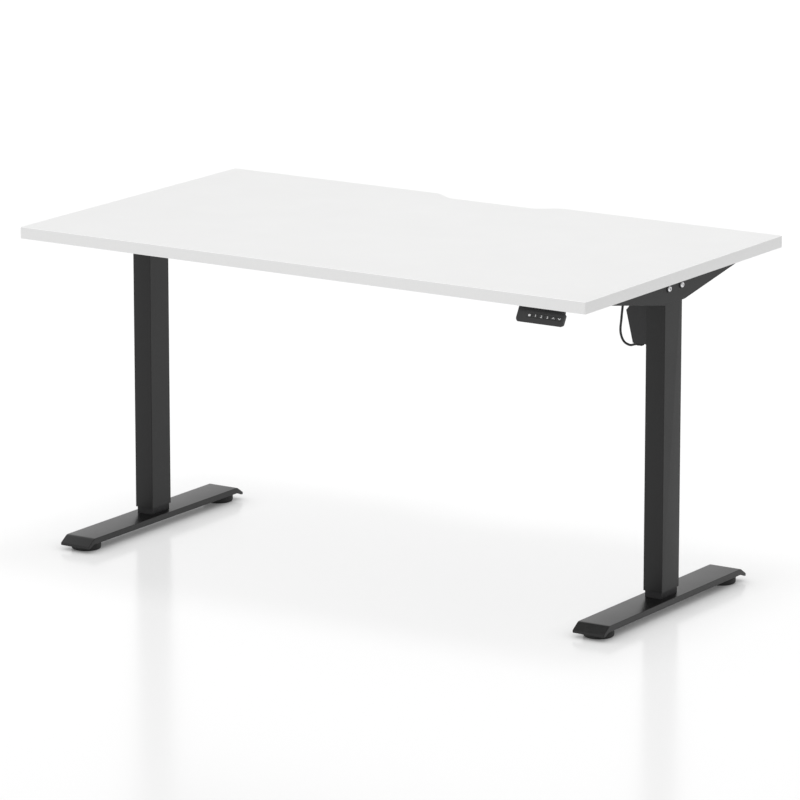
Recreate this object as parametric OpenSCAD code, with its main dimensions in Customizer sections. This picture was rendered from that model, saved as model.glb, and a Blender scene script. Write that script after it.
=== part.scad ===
// Height adjustable standing desk: a board on a two-leg frame that one geared motor raises.
// The origin is on the floor under the middle of the top, with the legs fully down.
// X runs from left to right, Y from front to back, and Z up.

/* [Desktop] */
// Width of the top, from left to right
top_w = 1400; // [1100:10:1800]
// Depth of the top, from front to back
top_d = 800; // [640:10:1000]
// Thickness of the board
top_t = 25; // [18:1:32]
// Height of the top face above the floor with the legs fully down
desk_h = 728; // [600:1:900]
// Thickness of the edging strip round the board
band_t = 2; // [1:0.5:3]
// Radius of the four upright corners of the top
corner_r = 4; // [4:1:20]
// Length of the straight bottom of the scoop in the rear edge
scoop_floor = 194; // [100:2:300]
// Length of the scoop along the rear edge
scoop_mouth = 330; // [320:2:500]
// Depth of the scoop
scoop_depth = 34; // [15:1:60]

/* [Columns] */
// Distance from each end of the top to the middle of its column
leg_inset = 53; // [40:1:150]
// Width of the outer tube, along X
outer_w = 45; // [37:0.5:60]
// Depth of the outer tube, along Y
outer_d = 70; // [58:0.5:90]
// Radius of the outer tube's long edges
outer_r = 1.5; // [1:0.5:8]
// Wall of the outer tube
outer_wall = 1.5; // [1.2:0.1:2.5]
// Gap between the outer and the inner tube, all round
slide_gap = 1; // [0.6:0.1:2]
// Wall of the inner tube
inner_wall = 1.5; // [1.2:0.1:2.5]
// Outer corner radius of the inner tubes
inner_r = 1.5; // [1:0.5:6]
// Length of inner tube that shows under the outer one
tube_show = 14; // [5:1:60]
// Play of the guides that the tubes slide on
guide_play = 0.05; // [0.02:0.01:0.2]
// Height of the guide collar in the mouth of the outer tube
collar_h = 40; // [20:1:80]

/* [Feet] */
// Width of a foot
foot_w = 75; // [60:1:100]
// Length of a foot's level part
foot_flat = 541; // [440:1:660]
// Length of the slope at each end of a foot
foot_slope = 22; // [15:1:40]
// Height of a foot's upper face above the floor
foot_top = 30; // [28:1:40]
// Height of a foot's side walls
foot_wall_h = 13; // [11:0.5:16]
// Height of the lip at each end of a foot
foot_lip = 5; // [3:0.5:6]
// Sheet thickness of a foot
foot_sheet = 3; // [2:0.5:4]
// Radius of a levelling pad
pad_r = 32; // [20:1:36]
// Distance from a foot's slope to the middle of its pad
pad_inset = 20.5; // [18:0.5:60]
// Radius of the levelling stud
stud_r = 4; // [3:0.5:6]
// Thickness of the end plate inside the inner tube's lower end
end_plate = 5; // [4:1:10]
// Radius of the screws that hold a foot on its column
foot_screw_r = 3; // [2.5:0.5:4]

/* [Side brackets] */
// Length of a side bracket
bracket_l = 580; // [440:1:700]
// Height of a side bracket over its column
bracket_h = 49.5; // [40:0.5:70]
// Height of a side bracket's ends
bracket_tip = 5; // [4:0.5:10]
// Length of the level lower edge of a side bracket
bracket_flat = 82; // [60:1:120]
// Width of the flange that is screwed to the board
bracket_flange = 40; // [30:1:60]
// Sheet thickness of a side bracket
bracket_t = 2.5; // [2:0.5:4]
// Radius of the bolts through a bracket and its column
bolt_r = 3; // [2.5:0.5:4]
// Distance from the column's front and rear faces to the bolts
bolt_edge = 9.4; // [8:0.2:14]
// Distance from the underside of the board to the bolts
bolt_drop = 17; // [14:1:24]

/* [Crossbeam] */
// Thickness of the plate that closes each end of the crossbeam
plate_t = 3; // [2:0.5:5]
// Depth of that plate, along Y
plate_d = 120; // [100:1:160]
// Depth of a rail, along Y
rail_d = 20; // [15:1:30]
// Height of a rail
rail_h = 36; // [25:1:45]
// Wall of the rails and of the sleeves
rail_wall = 1.5; // [1.2:0.1:2.5]
// Distance from the middle of the desk to a rail's middle
rail_y = 46; // [44:1:60]
// Gap between the board and the rails
rail_gap = 6; // [5:1:12]
// Length of the sleeves that join the two ends
sleeve_l = 520; // [420:10:700]
// Length of rail inside each end of a sleeve
rail_overlap = 60; // [40:5:120]
// Gap between a rail and its sleeve
sleeve_gap = 0.3; // [0.2:0.1:0.8]

/* [Drive] */
// Width across the flats of the hex shaft
shaft_af = 10; // [8:0.5:12]
// Distance from the underside of the board to the hex shaft
shaft_drop = 61; // [58:1:80]
// Radius of the lifting spindle
spindle_r = 8; // [7:0.5:9]
// Radius of the spindle's neck in the gearbox
neck_r = 5; // [4:0.5:6]
// Outer radius of a mitre gear
gear_r = 14; // [12:0.5:14]
// Number of teeth on a mitre gear
gear_teeth = 16; // [12:1:20]
// Length of a gear tooth along the gear's axis
gear_face = 5.5; // [4:0.5:6]
// Radius of the worm wheel on the hex shaft
wheel_r = 12; // [10:0.5:12.5]
// Number of teeth on the worm wheel
wheel_teeth = 22; // [18:1:30]
// Radius of the motor's can
motor_r = 14.5; // [12:0.5:15]
// Radius of the running play round turning shafts
turn_play = 0.05; // [0.02:0.01:0.1]

/* [Motor cover] */
// Depth of the motor cover, along Y
cover_d = 60; // [56:1:80]
// Height of the motor cover
cover_h = 96; // [90:1:120]
// Reach of the cover from the column at its widest
cover_reach = 50.5; // [48:0.5:60]
// Reach of the cover from the column at its lower end
cover_foot = 34; // [32:0.5:45]
// Wall of the cover
cover_t = 2; // [1.5:0.1:3]

/* [Handset] */
// Width of the handset
handset_w = 110; // [100:1:140]
// Distance from the right end of the top to the handset's middle
handset_inset = 110; // [80:1:400]
// Height of the handset
handset_h = 32; // [28:0.5:40]
// Lean of the handset's face from the vertical
handset_lean = 29.5; // [20:0.5:40]
// Thickness of the handset's front panel
panel_t = 2; // [1.5:0.1:3]
// Thickness of the handset's flat front part, with its panel
slab_t = 7; // [6.5:0.5:12]
// Width of the housing behind the handset's flat front part
housing_w = 80; // [60:1:100]
// Width of a key
key_w = 11; // [8:0.5:12]
// Height of a key
key_h = 8; // [6:0.5:12]
// Distance between neighbouring keys
key_pitch = 14; // [13:0.5:16]

/* [Control box] */
// Length of the control box, along X
box_l = 200; // [160:1:260]
// Depth of the control box, along Y
box_d = 100; // [80:1:120]
// Height of the control box
box_h = 40; // [36:1:50]
// Wall of the control box
box_t = 2.5; // [2:0.5:4]

/* [Hidden] */

white = "#f0f0f0";
black = "#2b2b2d";
dark = "#1d1d1f";
steel = "#b9bcc0";
round_fn = 48;

// Heights that hang from the board
under_z = desk_h - top_t;
tube_top = under_z - bracket_t;
bolt_z = under_z - bolt_drop;
rail_z = under_z - rail_gap - rail_h;
shaft_z = under_z - shaft_drop;

// Columns
leg_x = top_w / 2 - leg_inset;
tube_in = outer_wall + slide_gap;
inner_w = outer_w - 2 * tube_in;
inner_d = outer_d - 2 * tube_in;
outer_z = foot_top + tube_show;
bolt_y = outer_d / 2 - bolt_edge;
column_face = leg_x - outer_w / 2;

// Gearbox, thrust bearing and nut, one under the other
gearbox_half = 20;
gearbox_d = 46;
gear_room = 15.5;
hub_r = 9;
bearing_h = 5;
bearing_r = 13;
nut_flange = 6;
nut_h = 35;
nut_gap = 3;
bearing_z = shaft_z - gearbox_half - bearing_h;
inner_top = bearing_z - nut_gap - nut_flange;
spindle_z = foot_top + 30;
tooth_up = 0.9;
tooth_down = 1.1;
tooth_half = 72 / gear_teeth;

// Crossbeam
plate_x = column_face - plate_t;
rail_end = sleeve_l / 2 - rail_overlap;
nut_af = 10;
nut_t = 5;

// Motor
motor_x = column_face - 17.5;
motor_y = 13;
motor_h = 44;
block_left = column_face - 25.5;
block_h = 35;
block_z = shaft_z - gearbox_half;
cover_z = rail_z - 1 - cover_h;
gland_x = column_face - 21.5;
gland_y = -18;
gland_w = 10;
gland_h = 6;

// Feet and pads
pad_y = foot_flat / 2 - pad_inset;
wall_z = foot_top - foot_wall_h;
pad_disc = wall_z - 1;
pad_neck_r = 16;
boss_r = 8;
boss_z = 7;
stud_head = 7.5;
foot_drop = foot_top - 15.5;

// Handset, with its face's middle and the keys' row
lean_c = cos(handset_lean);
lean_s = sin(handset_lean);
handset_x = top_w / 2 - handset_inset;
handset_z = under_z - handset_h;
handset_rear = -top_d / 2 + 40;
face_h = handset_h / lean_c;
face_y = (face_h * lean_s - top_d) / 2;
face_z = under_z - handset_h / 2;
case_t = 2;
key_gap = 0.2;
key_top = 0.4;
key_back = 3;
key_y = -2.5;
first_key = -25.5;

// Control box
box_x = 250;
box_y = 90;
box_z = under_z - box_h;
box_split = under_z - box_h / 2;
port_z = box_z + 10;

// Cords: the points that they follow
motor_cord_r = 2.5;
handset_cord_r = 2;
motor_route = [
    [598, -18, 561], [593, -18, 561], [587, -18, 558], [579, -18, 555], [570, -18, 557],
    [564, -18, 560], [559, -18, 566], [556, -18, 573], [554, -18, 581], [554, -18, 592],
    [556, -18, 606], [557, -18, 620], [559, -18, 636], [560, -18, 650], [560, -17, 664],
    [560, -15, 676], [560, -11, 686], [560, -4, 694], [560, 6, 699], [560, 18, 700],
    [560, 34, 700], [560, 58, 700], [560, 80, 700], [560, 100, 700], [559, 113, 700],
    [555, 125, 699], [548, 135, 698], [539, 143, 696], [528, 148, 693], [515, 150, 689],
    [501, 150, 684], [487, 150, 679], [474, 150, 675], [462, 150, 673], [450, 150, 673],
];
handset_route = [
    [590, -360, 690], [590, -352, 690], [590, -344, 692], [588, -335, 695], [584, -325, 698],
    [577, -315, 700], [568, -306, 700], [556, -296, 700], [544, -285, 700], [534, -273, 700],
    [526, -259, 700], [521, -243, 700], [520, -226, 700], [520, -200, 700], [520, -170, 700],
    [520, -130, 700], [520, -90, 700], [520, -60, 700], [520, -30, 700], [520, 0, 700],
    [520, 30, 700], [520, 56, 700], [519, 70, 700], [516, 82, 699], [511, 92, 697],
    [504, 100, 694], [495, 106, 690], [485, 109, 685], [475, 110, 680], [466, 110, 676],
    [458, 110, 673], [450, 110, 673],
];

// Points of a polygon, each side moved inwards by w; the points run anticlockwise.
function side_normal(a, b) = let (d = (b - a) / norm(b - a)) [-d.y, d.x];
function shrink(p, w) = [
    for (i = [0 : len(p) - 1])
        let (n = len(p), m = side_normal(p[(i + n - 1) % n], p[i]), k = side_normal(p[i], p[(i + 1) % n]))
            p[i] + w * (m + k) / (1 + m * k)
];

// Points of an arc about a centre, from angle a to angle b.
function arc(c, r, a, b, steps = 6) = [
    for (i = [0 : steps]) let (t = a + (b - a) * i / steps) c + r * [cos(t), sin(t)]
];

// Points of a rectangle with four rounded corners, about the origin.
function rounded(w, d, r) = concat(
    arc([w / 2 - r, d / 2 - r], r, 0, 90),
    arc([r - w / 2, d / 2 - r], r, 90, 180),
    arc([r - w / 2, r - d / 2], r, 180, 270),
    arc([w / 2 - r, r - d / 2], r, 270, 360)
);

// The rear edge of the top, from right to left, with a smooth ramp at each end of the scoop.
function ramp(t) = (1 - cos(180 * t)) / 2;
function scoop_side(from, to, a, b) = [
    for (i = [0 : 16]) [from + (to - from) * i / 16, top_d / 2 - scoop_depth * (a + (b - a) * ramp(i / 16))]
];
function board_points() = concat(
    arc([top_w / 2 - corner_r, top_d / 2 - corner_r], corner_r, 0, 90),
    scoop_side(scoop_mouth / 2, scoop_floor / 2, 0, 1),
    scoop_side(-scoop_floor / 2, -scoop_mouth / 2, 1, 0),
    arc([corner_r - top_w / 2, top_d / 2 - corner_r], corner_r, 90, 180),
    arc([corner_r - top_w / 2, corner_r - top_d / 2], corner_r, 180, 270),
    arc([top_w / 2 - corner_r, corner_r - top_d / 2], corner_r, 270, 360)
);

// Rings of a tube that follows a route, and the faces that join them.
function cord_step(p, i) = let (d = p[min(i + 1, len(p) - 1)] - p[max(i - 1, 0)]) d / norm(d);
function cord_side(d) = let (s = abs(d.x) < 0.8 ? cross(d, [1, 0, 0]) : cross(d, [0, 1, 0])) s / norm(s);
function carried(s, d) = let (v = s - (s * d) * d) v / norm(v);
function cord_sides(p, i = 0, s = undef) = i == len(p) ? [] : let (
    d = cord_step(p, i),
    now = i == 0 ? cord_side(d) : carried(s, d)
) concat([now], cord_sides(p, i + 1, now));

module cord(p, r, n = 8) {
    sides = cord_sides(p);
    rings = [
        for (i = [0 : len(p) - 1])
            let (d = cord_step(p, i), u = sides[i], v = cross(d, u))
                for (k = [0 : n - 1]) p[i] + r * (cos(360 * k / n) * u + sin(360 * k / n) * v)
    ];
    walls = [
        for (i = [0 : len(p) - 2], k = [0 : n - 1])
            [i * n + k, i * n + (k + 1) % n, (i + 1) * n + (k + 1) % n, (i + 1) * n + k]
    ];
    first = [for (k = [n - 1 : -1 : 0]) k];
    last = [for (k = [0 : n - 1]) (len(p) - 1) * n + k];
    polyhedron([for (q = rings) q], [for (f = concat(walls, [first, last])) [for (j = [len(f) - 1 : -1 : 0]) f[j]]]);
}

// A box between two corners.
module block(low, high) {
    translate(low) cube(high - low);
}

// A cylinder that starts at a point and runs along X.
module rod_x(start, length, r, fn = round_fn) {
    translate(start) rotate([0, 90, 0]) cylinder(h = length, r = r, $fn = fn);
}

// A hexagonal bar along X with two level flats.
module hex_x(start, length, af) {
    translate(start) rotate([0, 90, 0]) rotate(0) cylinder(h = length, r = af / 2 / cos(30), $fn = 6);
}

// The left side is the right side mirrored.
module on_side(side) {
    if (side == "left") {
        mirror([1, 0, 0]) children();
    } else {
        children();
    }
}

// ---- Top ----

module desktop_board() {
    color(white) difference() {
        translate([0, 0, under_z]) linear_extrude(top_t) polygon(shrink(board_points(), band_t));
        screw_shanks();
    }
}

module edge_banding() {
    color(white) translate([0, 0, under_z]) linear_extrude(top_t) difference() {
        polygon(board_points());
        polygon(shrink(board_points(), band_t));
    }
}

// Places of the screws that go up into the board, with the height of the sheet under each head
bracket_screws = [
    for (side = [-1, 1], y = [-0.44, -0.24, 0.24, 0.44])
        [side * (leg_x + outer_w / 2 + bracket_t - bracket_flange / 2), y * bracket_l, bracket_t]
];
handset_screws = [for (side = [-1, 1]) [handset_x + side * housing_w / 2, handset_rear + 6, case_t]];
box_screws = [for (x = [box_x - 6, box_x + box_l + 6], y = [box_y + 25, box_y + 75]) [x, y, box_t]];
clip_t = 1.5;
clip_places = [[520, -200], [520, -90], [560, 80]];
clip_screws = [for (c = clip_places) [c.x + 9, c.y, clip_t]];
all_screws = concat(bracket_screws, handset_screws, box_screws, clip_screws);
screw_r = 2;
screw_l = 14;

module screw_shanks() {
    for (s = all_screws) {
        translate([s.x, s.y, under_z - s.z - 1]) cylinder(h = screw_l + s.z + 1, r = screw_r, $fn = 24);
    }
}

module screw_holes(list) {
    for (s = list) {
        translate([s.x, s.y, under_z - 10]) cylinder(h = 20, r = screw_r + 0.3, $fn = 24);
    }
}

module desktop_screws() {
    color(steel) for (s = all_screws) {
        translate([s.x, s.y, under_z - s.z]) {
            cylinder(h = screw_l + s.z - 1, r = screw_r, $fn = 24);
            translate([0, 0, -2]) difference() {
                cylinder(h = 2, r = 4, $fn = 32);
                translate([0, 0, -1]) block([-2, -0.5, 0], [2, 0.5, 2]);
                translate([0, 0, -1]) block([-0.5, -2, 0], [0.5, 2, 2]);
            }
        }
    }
}

// ---- Side brackets ----

module side_bracket() {
    face = leg_x + outer_w / 2;
    difference() {
        union() {
            translate([face, 0, 0]) rotate([90, 0, 90]) linear_extrude(bracket_t) polygon([
                [-bracket_l / 2, under_z - bracket_tip],
                [-bracket_flat / 2, under_z - bracket_h],
                [bracket_flat / 2, under_z - bracket_h],
                [bracket_l / 2, under_z - bracket_tip],
                [bracket_l / 2, under_z],
                [-bracket_l / 2, under_z],
            ]);
            block(
                [face + bracket_t - bracket_flange, -bracket_l / 2, tube_top],
                [face + bracket_t, bracket_l / 2, under_z]
            );
        }
        for (y = [-bolt_y, bolt_y]) {
            rod_x([face - 1, y, bolt_z], bracket_t + 2, bolt_r + 0.3);
        }
        screw_holes([for (s = bracket_screws) if (s.x > 0) s]);
    }
}

module side_bracket_left() {
    color(black) on_side("left") side_bracket();
}

module side_bracket_right() {
    color(black) on_side("right") side_bracket();
}

bolt_head_r = 6.2;
bolt_head_h = 3.4;
washer_r = 7.5;
washer_t = 1.2;

module bracket_bolts() {
    washer_x = leg_x + outer_w / 2 + bracket_t + washer_t;
    color("#e6e6e6") for (side = ["left", "right"], y = [-bolt_y, bolt_y]) {
        on_side(side) translate([washer_x, y, bolt_z]) rotate([0, 90, 0]) {
            difference() {
                rotate_extrude($fn = round_fn) polygon(concat(
                    [[0, 0], [bolt_head_r, 0]],
                    [for (t = [0 : 15 : 60]) [bolt_head_r - 3.4 + 3.4 * cos(t), 0.4 + 3 * sin(t) / sin(60)]],
                    [[0, bolt_head_h]]
                ));
                translate([0, 0, 1]) cylinder(h = 5, r = 2.3, $fn = 6);
            }
            translate([0, 0, plate_x - nut_t - washer_x]) {
                cylinder(h = washer_x - plate_x + nut_t, r = bolt_r, $fn = round_fn);
            }
        }
    }
}

module bracket_washers() {
    color(dark) for (side = ["left", "right"], y = [-bolt_y, bolt_y]) {
        on_side(side) difference() {
            rod_x([leg_x + outer_w / 2 + bracket_t, y, bolt_z], washer_t, washer_r);
            rod_x([leg_x + outer_w / 2, y, bolt_z], 10, bolt_r);
        }
    }
}

// ---- Crossbeam ----

module rail_tube(x0, x1, y, grow) {
    d = rail_d + 2 * grow;
    h = rail_h + 2 * grow;
    z = rail_z + rail_h / 2;
    difference() {
        block([x0, y - d / 2, z - h / 2], [x1, y + d / 2, z + h / 2]);
        block(
            [x0 - 1, y - d / 2 + rail_wall, z - h / 2 + rail_wall],
            [x1 + 1, y + d / 2 - rail_wall, z + h / 2 - rail_wall]
        );
    }
}

module crossbeam_end() {
    for (y = [-rail_y, rail_y]) {
        rail_tube(rail_end, plate_x, y, 0);
    }
    difference() {
        union() {
            block([plate_x, -plate_d / 2, rail_z], [column_face, plate_d / 2, under_z - 3]);
            for (y = [-bolt_y, bolt_y]) {
                hex_x([plate_x - nut_t, y, bolt_z], nut_t + 0.5, nut_af);
            }
        }
        for (y = [-bolt_y, bolt_y]) {
            rod_x([plate_x - nut_t - 1, y, bolt_z], plate_t + nut_t + 2, bolt_r);
        }
    }
}

module crossbeam_end_left() {
    color(black) on_side("left") crossbeam_end();
}

module crossbeam_end_right() {
    color(black) on_side("right") crossbeam_end();
}

module crossbeam_sleeves() {
    color(black) for (y = [-rail_y, rail_y]) {
        rail_tube(-sleeve_l / 2, sleeve_l / 2, y, rail_wall + sleeve_gap);
    }
}

// ---- Columns ----

// The corner radius left inside a wall
function corner_inside(r, wall) = max(r - wall, 0.3);

module column_tube(w, d, r, wall, z0, z1) {
    translate([leg_x, 0, z0]) linear_extrude(z1 - z0) difference() {
        polygon(rounded(w, d, r));
        polygon(rounded(w - 2 * wall, d - 2 * wall, corner_inside(r, wall)));
    }
}

module outer_tube() {
    difference() {
        column_tube(outer_w, outer_d, outer_r, outer_wall, outer_z, tube_top);
        rod_x([column_face - 1, 0, shaft_z], outer_wall + 2, 7.5);
        for (y = [-bolt_y, bolt_y]) {
            rod_x([column_face - 1, y, bolt_z], outer_w + 2, bolt_r + 0.3);
        }
    }
}

module outer_tube_left() {
    color(black) on_side("left") outer_tube();
}

module outer_tube_right() {
    color(black) on_side("right") outer_tube();
}

module guide_collar() {
    play = slide_gap - guide_play;
    column_tube(
        inner_w + 2 * slide_gap, inner_d + 2 * slide_gap, corner_inside(outer_r, outer_wall),
        play, outer_z, outer_z + collar_h
    );
}

module guide_collar_left() {
    color(dark) on_side("left") guide_collar();
}

module guide_collar_right() {
    color(dark) on_side("right") guide_collar();
}

// The tube with the plate that is welded into its lower end
module inner_tube() {
    column_tube(inner_w, inner_d, inner_r, inner_wall, foot_top, inner_top);
    difference() {
        translate([leg_x, 0, foot_top]) linear_extrude(end_plate)
            polygon(rounded(inner_w - 2 * inner_wall, inner_d - 2 * inner_wall, 1));
        foot_screw_places() cylinder(h = 60, r = foot_screw_r, center = true, $fn = 32);
    }
}

module inner_tube_left() {
    color(black) on_side("left") inner_tube();
}

module inner_tube_right() {
    color(black) on_side("right") inner_tube();
}

// ---- Spindles, nuts and gears ----

module spindle_nut() {
    hole = spindle_r + turn_play;
    difference() {
        union() {
            translate([leg_x, 0, inner_top - nut_h]) linear_extrude(nut_h)
                polygon(rounded(inner_w - 2 * inner_wall - 0.1, inner_d - 2 * inner_wall - 0.1, 1));
            translate([leg_x, 0, inner_top]) linear_extrude(nut_flange) polygon(rounded(
                inner_w + 2 * slide_gap - 2 * guide_play, inner_d + 2 * slide_gap - 2 * guide_play,
                corner_inside(outer_r, outer_wall)
            ));
        }
        translate([leg_x, 0, inner_top - nut_h - 1]) cylinder(h = nut_h + nut_flange + 2, r = hole, $fn = round_fn);
    }
}

module spindle_nut_left() {
    color("#d8d4c8") on_side("left") spindle_nut();
}

module spindle_nut_right() {
    color("#d8d4c8") on_side("right") spindle_nut();
}

module spindle() {
    translate([leg_x, 0, 0]) {
        translate([0, 0, spindle_z]) cylinder(h = bearing_z - spindle_z, r = spindle_r, $fn = round_fn);
        translate([0, 0, bearing_z - 1]) cylinder(h = shaft_z - 8 - bearing_z + 1, r = neck_r, $fn = round_fn);
    }
}

module spindle_left() {
    color(steel) on_side("left") spindle();
}

module spindle_right() {
    color(steel) on_side("right") spindle();
}

module thrust_bearings() {
    color(steel) for (x = [-leg_x, leg_x]) {
        translate([x, 0, bearing_z]) difference() {
            cylinder(h = bearing_h, r = bearing_r, $fn = round_fn);
            translate([0, 0, -1]) cylinder(h = bearing_h + 2, r = neck_r + turn_play, $fn = round_fn);
        }
    }
}

// A mitre gear below its pitch cone's tip, which is at the origin; turn shifts its teeth.
module mitre_gear(turn) {
    near = gear_r - gear_face;
    difference() {
        intersection() {
            translate([0, 0, -gear_r])
                cylinder(h = gear_face, r1 = gear_r + tooth_up, r2 = near + tooth_up, $fn = round_fn);
            union() {
                translate([0, 0, -gear_r])
                    cylinder(h = gear_face, r1 = gear_r - tooth_down, r2 = near - tooth_down, $fn = round_fn);
                translate([0, 0, -gear_r - 1]) linear_extrude(gear_face + 2) polygon([
                    for (i = [0 : gear_teeth - 1])
                        let (a = turn + 360 * i / gear_teeth)
                            for (q = [[3, -1], [gear_r + 3, -1], [gear_r + 3, 1], [3, 1]])
                                q[0] * [cos(a + q[1] * tooth_half), sin(a + q[1] * tooth_half)]
                ]);
            }
        }
        translate([0, 0, -gear_r - 2]) children();
    }
}

module spindle_gear() {
    translate([leg_x, 0, shaft_z]) mitre_gear(180 / gear_teeth)
        cylinder(h = 40, r = neck_r, $fn = round_fn);
}

module spindle_gear_left() {
    color(steel) on_side("left") spindle_gear();
}

module spindle_gear_right() {
    color(steel) on_side("right") spindle_gear();
}

module shaft_gears() {
    color(steel) for (side = ["left", "right"]) {
        on_side(side) difference() {
            union() {
                translate([leg_x, 0, shaft_z]) rotate([0, 90, 0]) mitre_gear(0) translate([0, 0, 100]) cube(1);
                rod_x([leg_x - gear_r - 6, 0, shaft_z], 6, hub_r);
            }
            hex_x([leg_x - gear_r - 10, 0, shaft_z], 30, shaft_af);
        }
    }
}

module hex_shaft() {
    end = leg_x - gear_r + gear_face + 0.5;
    color(steel) hex_x([-end, 0, shaft_z], 2 * end, shaft_af);
}

module worm_wheel() {
    root = wheel_r - 2;
    color("#c8a86a") difference() {
        translate([motor_x - 5, 0, shaft_z]) rotate([0, 90, 0]) linear_extrude(10) polygon([
            for (i = [0 : wheel_teeth - 1])
                let (a = 360 * i / wheel_teeth, h = 90 / wheel_teeth)
                    for (q = [[root, -1.4], [wheel_r, -0.7], [wheel_r, 0.7], [root, 1.4]])
                        q[0] * [cos(a + q[1] * h), sin(a + q[1] * h)]
        ]);
        hex_x([motor_x - 20, 0, shaft_z], 40, shaft_af);
    }
}

module gearbox() {
    w = outer_w - 2 * outer_wall - 0.2;
    color("#8a8d90") difference() {
        block(
            [leg_x - w / 2, -gearbox_d / 2, shaft_z - gearbox_half],
            [leg_x + w / 2, gearbox_d / 2, shaft_z + gearbox_half]
        );
        block(
            [leg_x - gear_room, -gear_room, shaft_z - gear_room],
            [leg_x + gear_room, gear_room, shaft_z + gear_room]
        );
        rod_x([leg_x - w / 2 - 1, 0, shaft_z], w / 2, hub_r + turn_play);
        translate([leg_x, 0, shaft_z - gearbox_half - 1])
            cylinder(h = gearbox_half, r = neck_r + 0.3, $fn = round_fn);
    }
}

module gearbox_left() {
    on_side("left") gearbox();
}

module gearbox_right() {
    on_side("right") gearbox();
}

// ---- Motor ----

module drive_motor() {
    color("#9a9da0") translate([motor_x, motor_y, block_z - motor_h]) {
        cylinder(h = motor_h, r = motor_r, $fn = round_fn);
        translate([0, 0, -3]) cylinder(h = 3, r = 6, $fn = round_fn);
    }
}

module motor_gearbox() {
    color("#6f7275") difference() {
        block([block_left, -16, block_z], [column_face, 28, block_z + block_h]);
        rod_x([motor_x - 6, 0, shaft_z], 12, wheel_r + 1);
        rod_x([block_left - 1, 0, shaft_z], 40, 7);
        translate([motor_x, motor_y + 2, block_z + 4]) cylinder(h = block_h - 8, r = 4.5, $fn = round_fn);
    }
}

// Outline of the motor cover in X and Z; open_w moves its column side outwards.
function cover_points(open_w) = [
    [column_face - cover_foot, cover_z],
    [column_face + open_w, cover_z],
    [column_face + open_w, cover_z + cover_h],
    [column_face - cover_reach + 22.7, cover_z + cover_h],
    [column_face - cover_reach, cover_z + cover_h - 28.5],
];

module motor_cover() {
    color(dark) difference() {
        translate([0, cover_d / 2, 0]) rotate([90, 0, 0]) linear_extrude(cover_d) polygon(cover_points(0));
        translate([0, cover_d / 2 - cover_t, 0]) rotate([90, 0, 0])
            linear_extrude(cover_d - 2 * cover_t) polygon(shrink(cover_points(cover_t + 1), cover_t));
        rod_x([column_face - cover_reach - 5, 0, shaft_z], 40, 8);
        translate([gland_x, gland_y, cover_z - 1]) cylinder(h = cover_t + 2, r = 4, $fn = round_fn);
    }
}

module cable_gland() {
    color(dark) {
        block(
            [gland_x - gland_w / 2, gland_y - gland_w / 2, cover_z - gland_h],
            [gland_x + gland_w / 2, gland_y + gland_w / 2, cover_z]
        );
        translate([gland_x, gland_y, cover_z - 1]) cylinder(h = cover_t + 3, r = 4, $fn = round_fn);
    }
}

module motor_cable() {
    color(dark) cord(motor_route, motor_cord_r);
}

module handset_cable() {
    color(dark) cord(handset_route, handset_cord_r);
}

module cable_clips() {
    color(dark) difference() {
        for (c = clip_places) {
            block([c.x - 5, c.y - 5, under_z - 7], [c.x + 5, c.y + 5, under_z]);
            block([c.x - 5, c.y - 5, under_z - clip_t], [c.x + 14, c.y + 5, under_z]);
        }
        for (c = clip_places) {
            block([c.x - 3, c.y - 6, under_z - 5.8], [c.x + 3, c.y + 6, under_z - 0.2]);
        }
        screw_holes(clip_screws);
    }
}

// ---- Control box ----

// One half of the control box's shell, between two heights, open towards the other half.
module box_half(z0, z1, floor_z) {
    difference() {
        translate([box_x + box_l / 2, box_y + box_d / 2, z0])
            linear_extrude(z1 - z0) polygon(rounded(box_l, box_d, 6));
        translate([box_x + box_l / 2, box_y + box_d / 2, floor_z])
            linear_extrude(z1 - z0) polygon(rounded(box_l - 2 * box_t, box_d - 2 * box_t, 6 - box_t));
    }
}

module control_box_base() {
    color(black) {
        box_half(box_split, under_z, box_split - box_t);
        difference() {
            union() {
                block([box_x - 12, box_y + 15, under_z - box_t], [box_x + 0.5, box_y + 85, under_z]);
                block(
                    [box_x + box_l - 0.5, box_y + 15, under_z - box_t],
                    [box_x + box_l + 12, box_y + 85, under_z]
                );
            }
            screw_holes(box_screws);
        }
    }
}

board_z = box_z + 6;
board_t = 1.6;
inlet_y = box_y + 50;
inlet_w = 30;
inlet_h = box_h / 2 - 2 * box_t;

module control_box_lid() {
    color(black) difference() {
        union() {
            box_half(box_z, box_split, box_z + box_t);
            for (x = [20, box_l - 30], y = [12, box_d - 12]) {
                translate([box_x + x, box_y + y, box_z + 1]) cylinder(h = board_z - board_t - box_z - 1, r = 3, $fn = 32);
            }
        }
        block(
            [box_x - 1, inlet_y - inlet_w / 2, box_z + box_t + 1],
            [box_x + box_t + 1, inlet_y + inlet_w / 2, box_z + box_t + 1 + inlet_h]
        );
        for (y = [60, 20]) {
            rod_x([box_x + box_l - 5, box_y + y, port_z], 10, 5);
        }
    }
}

// The circuit board with its larger parts and the two sockets for the cables
module control_board() {
    z = board_z;
    color("#2f6b46") block([box_x + 12, box_y + 6, z - board_t], [box_x + box_l - 4, box_y + box_d - 6, z]);
    color(dark) {
        for (y = [60, 20]) {
            block([box_x + box_l - 16, box_y + y - 7, z], [box_x + box_l - 4, box_y + y + 7, z + 9]);
            rod_x([box_x + box_l - 5, box_y + y, port_z], 5, 4.7);
        }
        block([box_x + 110, box_y + 55, z], [box_x + 150, box_y + 85, z + 24]);
        for (x = [60, 80]) {
            translate([box_x + x, box_y + 22, z]) cylinder(h = 24, r = 8, $fn = 32);
        }
        for (x = [105, 127]) {
            block([box_x + x, box_y + 12, z], [box_x + x + 18, box_y + 30, z + 16]);
        }
    }
}

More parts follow.
